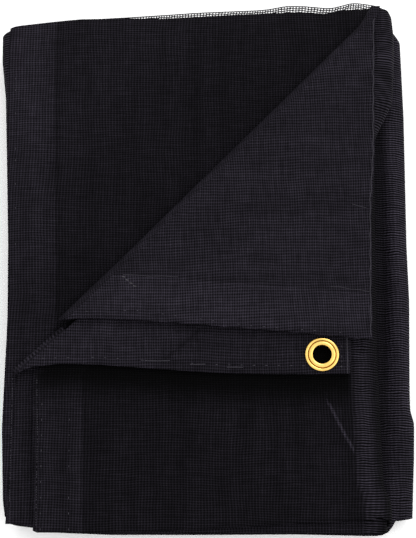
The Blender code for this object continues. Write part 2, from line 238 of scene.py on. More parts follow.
# Soft rises and hollows of the whole pack
SWELLS = (
    # (x, y, reach_x, reach_y, rise)
    (-168.0, 90.0, 24.0, 150.0, -6.0),
    (-166.0, -120.0, 22.0, 90.0, -5.0),
    (-20.0, 226.0, 230.0, 24.0, -7.0),
    (0.0, -208.0, 200.0, 24.0, -5.0),
    (-70.0, 120.0, 60.0, 45.0, 0.9),
    (20.0, 60.0, 70.0, 50.0, 0.8),
    (60.0, -135.0, 50.0, 34.0, -1.0),
    (-60.0, -120.0, 45.0, 40.0, 0.8),
    (118.0, 120.0, 25.0, 60.0, 0.7),
    (130.5, -25.0, 5.5, 110.0, -9.5),
    (140.0, -25.0, 6.5, 130.0, 5.0),
)

# Raised crease in the top layer, from its far end to its near end, and a soft one across the strip
TOP_CREASE = (
    # (x, y)
    (86.5, -98.0), (91.5, -109.0), (97.5, -121.0), (104.0, -132.5), (109.0, -141.9), (111.0, -150.0),
    (110.6, -179.8),
)
STRIP_CREASE = (
    # (x, y)
    (-5.8, -45.1), (-16.5, -54.6), (-31.6, -67.0),
)
TOP_CREASE_RISE, TOP_CREASE_REACH = 1.1, 2.4
TOP_CREASE_Y, TOP_CREASE_FADE = -96.0, 14.0
STRIP_CREASE_DEPTH, STRIP_CREASE_REACH = 0.5, 3.0

# How finely the cloth is made
ROW_STEP = 4.6
ROW_TOLERANCE = 0.01
SHARE_TOLERANCE = 1e-6
STRIP_ROWS = 21
TONGUE_STATIONS, STRIP_STATIONS, CORNER_STATIONS = 34, 96, 64
MITRE_STEPS, CORNER_FOLD_STEPS = 12, 14
CLOSE_FOLD_STEPS, WIDE_FOLD_STEPS, SEEN_FOLD_STEPS = 6, 14, 20
SEEN_FOLDS = (1, 7, 5)
SEEN_RUN = tuple(step / 83 for step in range(84))
HIDDEN_RUN = (0.0, 0.012, 0.03, 0.06, 0.12, 0.25, 0.5, 0.76, 0.88, 0.94, 0.97, 0.988, 1.0)

# Distance given to cloth that is nowhere near a hemmed edge or a crease
FAR_AWAY = 1000.0

# Left edge of the top layer's ridge, painted lighter as painted light, and right edge of the valley beside
# the upper bundle, painted darker as painted shade
RIDGE_LEFT_EDGE = (
    # (y, x)
    (-190.0, 109.6), (-146.0, 110.2), (-137.0, 114.0), (-131.0, 116.3), (-112.6, 112.0),
    (-82.8, 108.3), (-53.0, 106.1), (204.0, 106.0),
)
VALLEY_RIGHT_EDGE = (
    # (y, x)
    (-190.0, 129.5), (-150.0, 129.0), (-53.0, 133.0), (60.0, 134.5), (204.0, 134.5),
)
RIDGE_FADE = 5.0
VALLEY_INSET, VALLEY_FADE = 3.0, 5.0

# How light each part of the cloth is painted; the ridge and outer tones are painted light on the rounded
# folds, and the crease gain is a painted highlight along the crease
TOP_TONE = 0.7
SECOND_TONE = 1.04
TONGUE_TONE = 0.72
CORNER_TONE = 1.51
CORNER_HEM_SHARE, CORNER_HEM_FADE = 0.75, 2.0
STRIP_TONE = 1.05
RIDGE_PAINTED_LIGHT_TONE = 1.48
OUTER_PAINTED_LIGHT_TONE = 2.0
HEM_GAIN = 0.68
CREASE_HIGHLIGHT_GAIN = 2.8

# Painted shade beside the corner's fold, in the valley, beside the upper bundle, past the strip's near edge,
# in the strip's
# crease and in the ring: how much darker the cloth is painted there, where each shade fades, and how much
# darker the strip grows towards its right end
BY_FOLD_SHADE, BY_FOLD_REACH = 0.38, 85.0
VALLEY_SHADE, OUTER_SHADE = 0.52, 0.6
BUNDLE_SHADE, BUNDLE_TURN, BUNDLE_TURN_FADE = 0.72, 0.45, 0.5
BUNDLE_Y, BUNDLE_FADE = 115.0, 25.0
PAST_STRIP_SHADE, PAST_STRIP_START, PAST_STRIP_FADE = 0.9, 6.0, 24.0
UNDER_STRIP = 40.0
SHADE_LEFT_X, SHADE_LEFT_FADE = -130.0, 12.0
SHADE_RIGHT_X, SHADE_RIGHT_FADE = 99.0, 6.0
ALONG_STRIP_SHADE, ALONG_STRIP_X, ALONG_STRIP_FADE = 0.29, -60.0, 70.0
STRIP_CREASE_SHADE, STRIP_CREASE_WIDTH = 0.35, 1.3
IN_RING_TONE, IN_RING_RADIUS, IN_RING_FADE = 0.25, 8.0, 4.0

# Colours
GAP_COLOUR = (0.0011, 0.0010, 0.0013)
THREAD_COLOUR = (0.0114, 0.0099, 0.0140)
CLOTH_GLOSS = 0.025
DARK_THREAD = (0.030, 0.028, 0.034)
NET_THREAD = (0.0108, 0.0099, 0.0126)
# Pale colour of the short threads that stand for glints, a painted highlight
PAINTED_GLINT_THREAD = (0.053, 0.050, 0.056)


def between(start, end, share):
    return start + (end - start) * share


def soft_step(value):
    value = np.clip(value, 0.0, 1.0)
    return value * value * (3.0 - 2.0 * value)


def fade_in(value, start, reach):
    """Nought up to the start, then softly up to one over the reach."""
    return soft_step((value - start) / reach)


def bell(value, reach):
    """One at nought, and softly down to nought on both sides."""
    return np.exp(-((value / reach) ** 2))


def read_edge(edge, position):
    """The value of a two-column edge table at this position, and past its ends in line."""
    places = np.array([row[0] for row in edge])
    values = np.array([row[1] for row in edge])
    position = np.asarray(position, float)
    inside = np.interp(position, places, values)
    first = (values[1] - values[0]) / (places[1] - places[0])
    last = (values[-1] - values[-2]) / (places[-1] - places[-2])
    inside = np.where(position < places[0], values[0] + first * (position - places[0]), inside)
    return np.where(position > places[-1], values[-1] + last * (position - places[-1]), inside)


def gap_to_line(line, x, y):
    """Distance of each point from a bent line: positive on its right, negative on its left."""
    x, y = np.broadcast_arrays(np.asarray(x, float), np.asarray(y, float))
    nearest = np.full(x.shape, FAR_AWAY)
    for (from_x, from_y), (to_x, to_y) in zip(line, line[1:]):
        along_x, along_y = to_x - from_x, to_y - from_y
        length = math.hypot(along_x, along_y)
        reach = np.clip(((x - from_x) * along_x + (y - from_y) * along_y) / length**2, 0.0, 1.0)
        away = np.hypot(x - from_x - reach * along_x, y - from_y - reach * along_y)
        side = np.sign((y - from_y) * along_x - (x - from_x) * along_y)
        nearest = np.where(away < np.abs(nearest), away * np.where(side == 0, 1.0, side), nearest)
    return nearest


def swell(x, y):
    total = 0.0
    for at_x, at_y, reach_x, reach_y, rise in SWELLS:
        total = total + rise * np.exp(-(((x - at_x) / reach_x) ** 2) - ((y - at_y) / reach_y) ** 2)
    return total


def settled_height(x, y, z):
    """Height after the pack has settled; the underside stays flat."""
    low = SHEET_THICK / 2
    return low + (z - low) * (1.0 + swell(x, y) / PACK_HIGH)


def layer_height(layer, x):
    """Middle of the layer's cloth; layer 1 rises at its left, over the strip's tongue."""
    height = SHEET_THICK / 2 + LAYER_STEP * (LAYER_COUNT - layer)
    if layer == 1:
        height = height + TOP_LEFT_RISE * (1.0 - fade_in(x, TOP_RISE_X, TOP_RISE_FADE))
    return height + 0.0 * x


def top_relief(x, y):
    """Rise of the top layer along its crease."""
    gap = gap_to_line(TOP_CREASE, x, y)
    return TOP_CREASE_RISE * bell(gap, TOP_CREASE_REACH) * fade_in(-y, -TOP_CREASE_Y, TOP_CREASE_FADE)


def row_y(layer, x, share):
    far_trim, near_trim = LAYER_TRIM[layer - 1]
    near = read_edge(TOP_NEAR_EDGE if layer == 1 else NEAR_EDGE, x) + near_trim
    far = read_edge(FAR_EDGE, x) - far_trim
    return between(near, far, share)


def row_share(y):
    return (y - TOP_LEFT_EDGE[0][0]) / (TOP_LEFT_EDGE[-1][0] - TOP_LEFT_EDGE[0][0])


def rim_x(fold, share):
    inward = 1.0 if fold[2] == "left" else -1.0
    y = between(TOP_LEFT_EDGE[0][0], TOP_LEFT_EDGE[-1][0], share)
    return float(read_edge(RIMS[fold[2]], y)) + inward * fold[3]


def fold_depth(fold, share):
    """How far the rounded fold reaches; the two outer folds of the upper bundle tighten at the far edge."""
    depth = fold[4]
    if fold[2] == "upper right" and depth > OUTER_FOLD_DEPTH:
        depth = between(depth, depth * TIGHT_SHARE, float(fade_in(share, TIGHT_START, TIGHT_FADE)))
    return depth


def fold_start_x(fold, share):
    inward = 1.0 if fold[2] == "left" else -1.0
    return rim_x(fold, share) + inward * (SHEET_THICK / 2 + fold_depth(fold, share))


def fold_length(fold):
    """Length of cloth in a fold, halfway along the pack."""
    half_height = LAYER_STEP * abs(fold[0] - fold[1]) / 2.0
    depth = fold_depth(fold, 0.5)
    return math.pi * math.sqrt((half_height**2 + depth**2) / 2.0)


def half_turn(steps):
    """Angles round a fold, its two ends left out, and how far down the fold each one lies."""
    turn = math.pi * np.arange(1, steps) / steps
    return turn, (1.0 - np.cos(turn)) / 2.0


def cloth_line_starts():
    """For each layer, (direction, offset) that turn x into the distance along the flat cloth."""
    direction, offset = 1.0, 0.0
    starts = {1: (direction, offset)}
    for fold in FOLDS:
        turn_x = fold_start_x(fold, 0.5)
        at = direction * turn_x + offset + fold_length(fold)
        direction = -direction
        offset = at - direction * turn_x
        starts[fold[1]] = (direction, offset)
    return starts


CLOTH_LINE = cloth_line_starts()


def cloth_points(x, y, z, flat_u, flat_v, hem=FAR_AWAY, tone=TOP_TONE, rib=0.0, crease=FAR_AWAY):
    """One point a line: its place, its place on the flat cloth, and what the material reads there."""
    columns = np.broadcast_arrays(x, y, z, flat_u, flat_v, hem, tone, rib, crease)
    return np.stack([np.ravel(column).astype(float) for column in columns], axis=1)


def in_valley(x, y):
    """One in the valley beside the upper bundle, where shade is painted, nought to the right of it."""
    return 1.0 - fade_in(x, read_edge(VALLEY_RIGHT_EDGE, y) - VALLEY_INSET, VALLEY_FADE)


def fold_points(fold, share):
    first, second, rim = fold[:3]
    outward = -1.0 if rim == "left" else 1.0
    steps = CLOSE_FOLD_STEPS if abs(first - second) == 1 else WIDE_FOLD_STEPS
    if first in SEEN_FOLDS:
        steps = SEEN_FOLD_STEPS
    turn, part = half_turn(steps)
    start_x = fold_start_x(fold, share)
    x = start_x + outward * fold_depth(fold, share) * np.sin(turn)
    y = between(row_y(first, x, share), row_y(second, x, share), part)
    z = between(layer_height(first, x), layer_height(second, x), part)
    direction, offset = CLOTH_LINE[first]
    back_direction, back_offset = CLOTH_LINE[second]
    flat_u = between(direction * start_x + offset, back_direction * start_x + back_offset, turn / math.pi)
    # Folds are painted lighter, a painted light on their rounded sides; the upper right folds get painted
    # shade at their outer turn short of the far end, and the lower right ones painted shade in the valley
    tone = RIDGE_PAINTED_LIGHT_TONE
    if rim == "upper right":
        outer = fade_in(np.sin(turn), BUNDLE_TURN, BUNDLE_TURN_FADE)
        tone = RIDGE_PAINTED_LIGHT_TONE * (1.0 - BUNDLE_SHADE * outer * fade_in(-y, -BUNDLE_Y, BUNDLE_FADE))
    if rim == "lower right":
        tone = OUTER_PAINTED_LIGHT_TONE * (1.0 - OUTER_SHADE * in_valley(x, y))
    return cloth_points(x, y, settled_height(x, y, z), flat_u, y, tone=tone, rib=1.0)


def second_tone(x, y):
    """How light layer 2 is painted: darker beside the turned corner's fold, a painted shade."""
    return SECOND_TONE * (1.0 - BY_FOLD_SHADE * bell(gap_to_line(CORNER_FOLD_LINE, x, y), BY_FOLD_REACH))


def top_tone(x, y, ridge):
    """How light the top layer is painted: lighter on its ridge, a painted light, and darker past the strip's
    near edge and in the ring, a painted shade.
    """
    tone = between(TOP_TONE, RIDGE_PAINTED_LIGHT_TONE, ridge)
    past_strip = read_edge(STRIP_NEAR_EDGE, x) - y
    beside = fade_in(x, SHADE_LEFT_X, SHADE_LEFT_FADE) * (1.0 - fade_in(x, SHADE_RIGHT_X, SHADE_RIGHT_FADE))
    near = (1.0 - fade_in(past_strip, PAST_STRIP_START, PAST_STRIP_FADE)) * (past_strip > -UNDER_STRIP)
    tone = tone * (1.0 - PAST_STRIP_SHADE * beside * near)
    from_ring = np.hypot(x - RING_X, y - RING_Y)
    return tone * between(IN_RING_TONE, 1.0, fade_in(from_ring, IN_RING_RADIUS, IN_RING_FADE))


def run_points(layer, start_x, end_x, share):
    x = between(start_x, end_x, np.array(SEEN_RUN if layer in (1, 2) else HIDDEN_RUN))
    y = row_y(layer, x, share)
    z = layer_height(layer, x)
    direction, offset = CLOTH_LINE[layer]
    hem, tone, rib, crease = FAR_AWAY, TOP_TONE, 0.0, FAR_AWAY
    if layer == 1:
        ridge = fade_in(x, read_edge(RIDGE_LEFT_EDGE, y), RIDGE_FADE)
        below_corner = y < CORNER_NEAR_EDGE[-1][1]
        tone, rib = top_tone(x, y, ridge), ridge
        crease = np.where(below_corner, gap_to_line(TOP_CREASE, x, y), FAR_AWAY)
        if share < row_share(TOP_LEFT_EDGE[CORNER_FOLD_START][0]) - SHARE_TOLERANCE:
            hem = x - start_x
    if layer == 2:
        hem = x - end_x
        tone = second_tone(x, y)
    if layer == 7:
        # Layer 7 is painted lighter as a lit ridge, with painted shade in the valley beside the upper bundle
        tone, rib = RIDGE_PAINTED_LIGHT_TONE * (1.0 - VALLEY_SHADE * in_valley(x, y)), 1.0
    height = settled_height(x, y, z)
    if layer == 1:
        height = height + top_relief(x, y)
    return cloth_points(x, y, height, direction * x + offset, y, hem, tone, rib, crease)


def corner_turn_depth(y):
    return float(between(CORNER_TURN_DEPTH, CORNER_TIP_DEPTH, fade_in(y, CORNER_TIP_Y, CORNER_TIP_FADE)))


def top_left_x(y, has_corner):
    x = float(read_edge(TOP_LEFT_EDGE, y))
    return x + SHEET_THICK / 2 + corner_turn_depth(y) if has_corner else x


def stack_row(y, has_corner):
    """One cross-section of the twelve layers, from the top layer's left edge on."""
    share = row_share(y)
    sections = []
    at_x = top_left_x(y, has_corner)
    for fold in FOLDS:
        end_x = fold_start_x(fold, share)
        sections.append(run_points(fold[0], at_x, end_x, share))
        sections.append(fold_points(fold, share))
        at_x = end_x
    last_y = float(row_y(2, np.array(SECOND_EDGE_X), share))
    sections.append(run_points(2, at_x, float(read_edge(SECOND_LEFT_EDGE, last_y)), share))
    return np.vstack(sections)


def corner_height(x, y):
    """Middle of the turned corner's cloth: over the strip it lies higher, and its near edge lifts."""
    height = layer_height(1, x) + CORNER_RISE
    near = read_edge(CORNER_NEAR_EDGE, x)
    over_strip = 1.0 - fade_in(y - near, OVER_STRIP_REACH, OVER_STRIP_FADE)
    strip_rise = OVER_STRIP_RISE + OVER_EYELET_RISE * fade_in(x, OVER_EYELET_X, OVER_EYELET_FADE)
    edge_lift = EDGE_LIFT_BASE + bell(x - EDGE_LIFT_X, EDGE_LIFT_REACH)
    edge_lift = edge_lift * bell(y - near, EDGE_LIFT_DEPTH) * CORNER_EDGE_LIFT
    return settled_height(x, y, height + strip_rise * over_strip + edge_lift)


def mirrored_in_fold(x, y):
    """Where a point of the turned corner lay before it was turned over the slanting fold."""
    (near_x, near_y), (far_x, far_y) = CORNER_FOLD_LINE
    along_x, along_y = far_x - near_x, far_y - near_y
    length = math.hypot(along_x, along_y)
    along_x, along_y = along_x / length, along_y / length
    reach = (x - near_x) * along_x + (y - near_y) * along_y
    return 2.0 * (near_x + reach * along_x) - x, 2.0 * (near_y + reach * along_y) - y


def corner_row(fold_y):
    """The turned corner in this cross-section: its right edge first, then the fold down to layer 1."""
    start_x = top_left_x(fold_y, True)
    start_y = TOP_LEFT_EDGE[CORNER_FOLD_START][0]
    rows_up = (fold_y - start_y) / (TOP_LEFT_EDGE[-1][0] - start_y)
    stations = np.linspace(1.0, 0.0, CORNER_STATIONS)
    x = between(start_x, float(read_edge(CORNER_RIGHT_EDGE, fold_y)), stations)
    fan = read_edge(CORNER_NEAR_EDGE, x) - CORNER_NEAR_EDGE[0][1]
    y = fold_y + fan * (1.0 - rows_up) * soft_step(stations * CORNER_FAN_STEPS)
    z = corner_height(x, y)
    flat_u, flat_v = mirrored_in_fold(x, y)
    fold_offset = CORNER_FOLD_CLOTH * math.sqrt(0.5)
    flat_u, flat_v = flat_u - fold_offset, flat_v + fold_offset
    hem = y - read_edge(CORNER_NEAR_EDGE, x) + CORNER_HEM_INSET
    tone = CORNER_TONE * between(CORNER_HEM_SHARE, 1.0, fade_in(hem, HEM_WIDTH, CORNER_HEM_FADE))
    face = cloth_points(x, y, z, flat_u, flat_v, hem, tone)

    turn, part = half_turn(CORNER_FOLD_STEPS)
    x = start_x - corner_turn_depth(fold_y) * np.sin(turn)
    low_z = settled_height(start_x, fold_y, layer_height(1, start_x))
    z = between(z[-1], low_z, part)
    flat_u = between(flat_u[-1], start_x, turn / math.pi)
    flat_v = between(flat_v[-1], fold_y, turn / math.pi)
    fold = cloth_points(x, fold_y, z, flat_u, flat_v, tone=between(CORNER_TONE, TOP_TONE, part))
    return np.vstack([face, fold])


def strip_height(x, y):
    """Middle of the strip above layer 1; near the grommet it is flat."""
    over = settled_height(x, y, layer_height(1, x) + SHEET_THICK / 2)
    lift = STRIP_LIFT * bell(x - STRIP_LIFT_X, STRIP_LIFT_REACH)
    loose = over + STRIP_GAP + STRIP_THICK / 2 + lift
    return between(loose, STRIP_SEAT, fade_in(x, SEAT_X, SEAT_FADE))


def strip_row(share):
    """One row along the strip: up the tongue, round the mitred fold, then to the right end."""
    (left_x, left_y), (far_x, far_y) = MITRE
    fold_x = between(left_x, far_x, share)
    fold_y = between(left_y, far_y, share)
    length = math.hypot(far_x - left_x, far_y - left_y)
    in_x, in_y = (far_y - left_y) / length, -(far_x - left_x) / length
    inset = STRIP_THICK / 2 + MITRE_DEPTH
    start_x, start_y = fold_x + in_x * inset, fold_y + in_y * inset

    part = np.linspace(0.0, 1.0, TONGUE_STATIONS)
    x = between(between(TONGUE_LEFT_X, TONGUE_RIGHT_X, share), start_x, part)
    y = between(TONGUE_NEAR_Y, start_y, part)
    z = settled_height(x, y, layer_height(2, x) + TONGUE_RISE)
    tongue = cloth_points(x, y, z, x, y, x - TONGUE_LEFT_X, TONGUE_TONE)
    low_z = z[-1]

    turn, part = half_turn(MITRE_STEPS)
    reach = MITRE_DEPTH * np.sin(turn)
    x, y = start_x - in_x * reach, start_y - in_y * reach
    z = between(low_z, float(strip_height(start_x, start_y)), part)
    mitre = cloth_points(x, y, z, start_x + MITRE_CLOTH * turn, start_y, share * STRIP_WIDTH, STRIP_TONE)

    x = between(start_x, STRIP_NEAR_EDGE[-1][0], np.linspace(0.0, 1.0, STRIP_STATIONS))
    near, far = read_edge(STRIP_NEAR_EDGE, x), read_edge(STRIP_FAR_EDGE, x)
    y = between(near, far, share)
    y = y + (start_y - y[0]) * (1.0 - fade_in(x, start_x, MITRE_FADE))
    crease = gap_to_line(STRIP_CREASE, x, y)
    z = strip_height(x, y) - STRIP_CREASE_DEPTH * bell(crease, STRIP_CREASE_REACH)
    tone = STRIP_TONE * (1.0 - ALONG_STRIP_SHADE * fade_in(x, ALONG_STRIP_X, ALONG_STRIP_FADE))
    # Painted shade in the strip's crease
    tone = tone * (1.0 - STRIP_CREASE_SHADE * bell(crease, STRIP_CREASE_WIDTH))
    top = cloth_points(x, y, z, y, x, y - near, tone)
    return np.vstack([tongue, mitre, top])


def cloth_rows():
    """Y of each row of the tarp, close together at every bend of the top layer's left edge."""
    rows = []
    stations = [y for y, _ in TOP_LEFT_EDGE]
    for start, end in zip(stations, stations[1:]):
        count = max(1, round((end - start) / ROW_STEP))
        rows += [between(start, end, step / count) for step in range(count)]
    return rows + [stations[-1]]


def grid_faces(rows):
    """Faces between neighbouring rows, each a list of point numbers or None."""
    faces = []
    for low, high in zip(rows, rows[1:]):
        for a, b, c, d in zip(low, low[1:], high[1:], high):
            if None not in (a, b, c, d):
                faces.append((a, b, c, d))
    return faces


def in_place(points):
    return [((x - MIDDLE_X) * MM, (y - MIDDLE_Y) * MM, z * MM) for x, y, z in points]


def in_scene(name, data):
    item = bpy.data.objects.new(name, data)
    bpy.context.collection.objects.link(item)
    return item


def new_piece(name, points, faces, material):
    mesh = bpy.data.meshes.new(name)
    mesh.from_pydata(in_place(points), [], faces)
    mesh.validate()
    mesh.materials.append(material)
    mesh.shade_smooth()
    return in_scene(name, mesh)


def lay_flat_pattern(item, cloth):
    """Gives each corner its place on the flat cloth, and each point what its material reads."""
    mesh = item.data
    layer = mesh.uv_layers.new(name="flat_cloth")
    corner_points = np.zeros(len(mesh.loops), np.int32)
    mesh.loops.foreach_get("vertex_index", corner_points)
    layer.data.foreach_set("uv", (cloth[corner_points, 3:5] * MM).astype(np.float32).ravel())
    for column, name, scale in ((5, "hem_gap", MM), (6, "tone", 1.0), (7, "rib", 1.0), (8, "crease_gap", MM)):
        attribute = mesh.attributes.new(name, "FLOAT", "POINT")
        attribute.data.foreach_set("value", (cloth[:, column] * scale).astype(np.float32))


def thicken(item, thick):
    solid = item.modifiers.new("Cloth thickness", "SOLIDIFY")
    solid.thickness = thick * MM
    solid.offset = 0.0
    solid.use_even_offset = True
    solid.use_quality_normals = True


def cloth_piece(name, rows, material, thick, keep=None):
    """A sheet from rows of cloth; rows may start later than others, and then miss their first columns."""
    widest = max(len(row) for row in rows)
    cloth = np.vstack(rows)
    numbers, start = [], 0
    for row in rows:
        numbers.append([None] * (widest - len(row)) + list(range(start, start + len(row))))
        start += len(row)
    faces = grid_faces(numbers)
    if keep is not None:
        faces = [face for face in faces if keep(*cloth[list(face), :2].mean(axis=0))]
    item = new_piece(name, cloth[:, :3], faces, material)
    lay_flat_pattern(item, cloth)
    thicken(item, thick)
    return item


def tarp_cloth(material):
    rows = []
    for y in cloth_rows():
        has_corner = y >= TOP_LEFT_EDGE[CORNER_FOLD_START][0] - ROW_TOLERANCE
        row = stack_row(y, has_corner)
        rows.append(np.vstack([corner_row(y), row]) if has_corner else row)
    return cloth_piece("tarp_cloth", rows, material, SHEET_THICK)


def strip_cloth(material):
    rows = [strip_row(share) for share in np.linspace(0.0, 1.0, STRIP_ROWS)]

    def outside_eyelet(x, y):
        return math.hypot(x - RING_X, y - RING_Y) > STRIP_HOLE_RADIUS

    return cloth_piece("strip_cloth", rows, material, STRIP_THICK, outside_eyelet)


def turned_brass(name, profile, material):
    """A closed profile of (radius, height) points, turned round the grommet's axis."""
    points, rows = [], []
    for step in range(TURNED_STEPS):
        turn = 2.0 * math.pi * step / TURNED_STEPS
        start = len(points)
        for radius, height in reversed(profile):
            points.append((RING_X + radius * math.cos(turn), RING_Y + radius * math.sin(turn), height))
        rows.append(list(range(start, len(points))) + [start])
    rows.append(rows[0])
    return new_piece(name, points, grid_faces(rows), material)


def arc(centre_r, centre_h, radius_r, radius_h, start, end, steps):
    turns = [math.radians(between(start, end, step / steps)) for step in range(steps + 1)]
    return [(centre_r + radius_r * math.cos(t), centre_h + radius_h * math.sin(t)) for t in turns]


def grommet_pieces(material):
    cloth_low = STRIP_SEAT - STRIP_THICK / 2
    cloth_top = STRIP_SEAT + STRIP_THICK / 2
    flange_top = cloth_low - FIT
    washer_low = cloth_top + FIT
    washer_top = washer_low + WASHER_THICK
    lip_low = washer_top + FIT
    lip_middle = (BORE_RADIUS + LIP_RADIUS) / 2
    lip_half = (LIP_RADIUS - BORE_RADIUS) / 2
    round_h = flange_top - EDGE_ROUND
    eyelet = [(BORE_RADIUS, flange_top - BORE_EDGE_DROP)]
    eyelet += arc(BORE_RADIUS + EDGE_ROUND, round_h, EDGE_ROUND, EDGE_ROUND, 200, 270, 4)
    eyelet += arc(FLANGE_RADIUS - EDGE_ROUND, round_h, EDGE_ROUND, EDGE_ROUND, -90, 90, 8)
    eyelet += [(BARREL_RADIUS, flange_top), (BARREL_RADIUS, lip_low)]
    eyelet += [(LIP_RADIUS - LIP_FOOT_INSET, lip_low)]
    eyelet += arc(lip_middle, lip_low + LIP_FOOT, lip_half, LIP_HEIGHT, 0, 180, 18)
    seat_h = washer_top - WASHER_SEAT_DROP
    washer = [(BARREL_RADIUS + FIT, washer_low), (FLANGE_RADIUS - WASHER_INSET, washer_low)]
    round_r, round_h = FLANGE_RADIUS - WASHER_ROUND, washer_low + WASHER_FOOT
    washer += arc(round_r, round_h, WASHER_ROUND, WASHER_HEIGHT, -15, 165, 16)
    washer += [(LIP_RADIUS + WASHER_SEAT_PAST_LIP, seat_h), (BARREL_RADIUS + FIT, seat_h)]
    return turned_brass("eyelet_brass", eyelet, material), turned_brass("washer_brass", washer, material)


# Faces on which threads lie


def top_face(x, y):
    return settled_height(x, y, layer_height(1, x)) + top_relief(x, y) + SHEET_THICK / 2


def second_face(x, y):
    return settled_height(x, y, layer_height(2, x)) + SHEET_THICK / 2


def corner_face(x, y):
    return corner_height(x, y) + SHEET_THICK / 2


def strip_face(x, y):
    return strip_height(x, y) + STRIP_THICK / 2


def tongue_face(x, y):
    return settled_height(x, y, layer_height(2, x) + TONGUE_RISE) + STRIP_THICK / 2


def third_face(x, y):
    return settled_height(x, y, layer_height(3, x))


def on_face(face, x, y, lift=0.0):
    """A point on a face, or a little above it."""
    return float(x), float(y), float(face(np.array(x), np.array(y))) + lift


def laid_line(face, line):
    """Points along a bent line of (x, y), lying on a face."""
    points = []
    for (from_x, from_y), (to_x, to_y) in zip(line, line[1:]):
        count = max(1, round(math.hypot(to_x - from_x, to_y - from_y) / LAID_STEP))
        points += [(between(from_x, to_x, n / count), between(from_y, to_y, n / count)) for n in range(count)]
    points.append(line[-1])
    return [on_face(face, x, y, THREAD_LIFT) for x, y in points]


# Seams, and where each lies
STRIP_SEAM_LINE = ((-118.0, -66.2), (-77.0, -65.4), (0.0, -70.4), (95.0, -72.0))
CORNER_SEAM_LINE = ((-87.2, -32.9), (-51.9, -31.8), (30.2, -43.1), (103.8, -48.6))
SEAMS = (
    # (name, face, stitch step, stitch length, kept share, line of (x, y))
    ("top_outer_seam", top_face, 9.8, 1.7, 0.9, ((-118.3, -99.0), (-117.6, -187.0))),
    ("top_inner_seam", top_face, 9.8, 1.7, 0.8, ((-98.7, -99.0), (-97.8, -187.0))),
    ("top_edge_chain", top_face, 1.75, 1.2, 0.8, ((-122.4, -80.0), (-121.0, -120.0), (-120.6, -187.5))),
    ("second_seam", second_face, 9.0, 1.6, 0.7, ((-145.0, 157.5), (-141.0, 11.2))),
    ("strip_near_seam", strip_face, 8.6, 2.4, 0.75, STRIP_SEAM_LINE),
    ("strip_end_seam", strip_face, 3.2, 1.9, 0.85, ((95.9, -57.5), (95.6, -72.0))),
    ("corner_near_seam", corner_face, 9.0, 1.9, 0.6, CORNER_SEAM_LINE),
    ("tongue_chain", tongue_face, 1.75, 1.2, 0.7, ((-140.2, -80.0), (-140.0, -181.0))),
)

# Long loose threads that catch the light
STRIP_THREADS = (
    # line of (x, y)
    ((-45.2, -67.6), (-36.0, -67.9), (-27.2, -67.7)),
    ((-12.9, -70.5), (-2.1, -70.2)),
    ((13.6, -72.3), (25.1, -72.4)),
    ((99.7, -47.0), (99.8, -77.0)),
)
CORNER_THREADS = (
    # line of (x, y)
    ((-61.6, -4.9), (-54.0, -5.0), (-42.0, -6.1), (-33.0, -5.9), (-21.7, -6.6)),
    ((88.3, -13.8), (96.0, -14.1), (103.0, -15.6), (110.0, -16.2), (116.5, -17.5)),
    ((105.5, 48.4), (109.9, 46.9), (115.7, 45.4)),
)

# Short threads on the turned corner, painted pale as glints: painted highlights
GLINTS = (
    # (x, y)
    (-60.9, -6.6), (-58.4, -9.0), (-55.6, -11.4), (-52.9, -13.6),
)
GLINT_FROM, GLINT_TO = (-1.2, 0.2), (1.0, -0.2)

# How finely a thread follows its face, how far above the face its middle lies, and thread sizes
LAID_STEP = 3.0
THREAD_LIFT = 0.1
STITCH_SEGMENTS, STITCH_RINGS = 6, 4
STITCH_LEAST, STITCH_MOST = 0.35, 0.58
THREAD_SIDES = 6
SEAM_THREAD_RADIUS = 0.36
LOOSE_THREAD_RADIUS = 0.32
THIN_THREAD_RADIUS = 0.2
NET_THREAD_RADIUS = 0.42

# Open net past the far edge: its ends, how far it starts inside, and how its threads lean and sway
NET_LEFT_X, NET_RIGHT_X = -84.0, 136.0
NET_TUCK = 5.0
NET_STATIONS = (0.0, 0.35, 0.7, 1.0)
NET_LEAN, NET_LEAN_SWAY, NET_LEAN_WAVE = 1.6, 1.3, 0.085
NET_ROWS, NET_ROW_TUCK = 5, 1.5
NET_SWAY, NET_WAVE = 0.3, 0.7
NET_EDGE_STEP, NET_EDGE_OVERRUN = 1.6, 3.0
EDGE_SHIFTS = (-4.0, -2.0, 0.0, 2.0, 4.0)

# Curled thread along the turned corner's right edge
CURL_NEAR_Y, CURL_FAR_Y, CURL_STEP = -50.0, 196.0, 3.0
CURL_INSET, CURL_SWAY, CURL_WAVE = 0.8, 0.3, 0.45


def add_node(tree, kind, inputs=(), **settings):
    """A new node; each of its inputs, by name or number, is linked or given a value."""
    node = tree.nodes.new(kind)
    for name, value in settings.items():
        setattr(node, name, value)
    for name, value in dict(inputs).items():
        if isinstance(value, bpy.types.NodeSocket):
            tree.links.new(value, node.inputs[name])
        else:
            node.inputs[name].default_value = value
    return node


def new_node_tree(name, sockets):
    tree = bpy.data.node_groups.new(name, "GeometryNodeTree")
    tree.interface.new_socket("Geometry", in_out="OUTPUT", socket_type="NodeSocketGeometry")
    for socket_name, kind in (("Geometry", "Geometry"), *sockets):
        tree.interface.new_socket(socket_name, in_out="INPUT", socket_type="NodeSocket" + kind)
    return tree, tree.nodes.new("NodeGroupInput").outputs


def finish_node_tree(tree, given, geometry):
    real = add_node(tree, "GeometryNodeRealizeInstances", {"Geometry": geometry})
    inputs = {"Geometry": real.outputs["Geometry"], "Material": given["Material"]}
    painted = add_node(tree, "GeometryNodeSetMaterial", inputs)
    add_node(tree, "NodeGroupOutput", {"Geometry": painted.outputs["Geometry"]})
    return tree


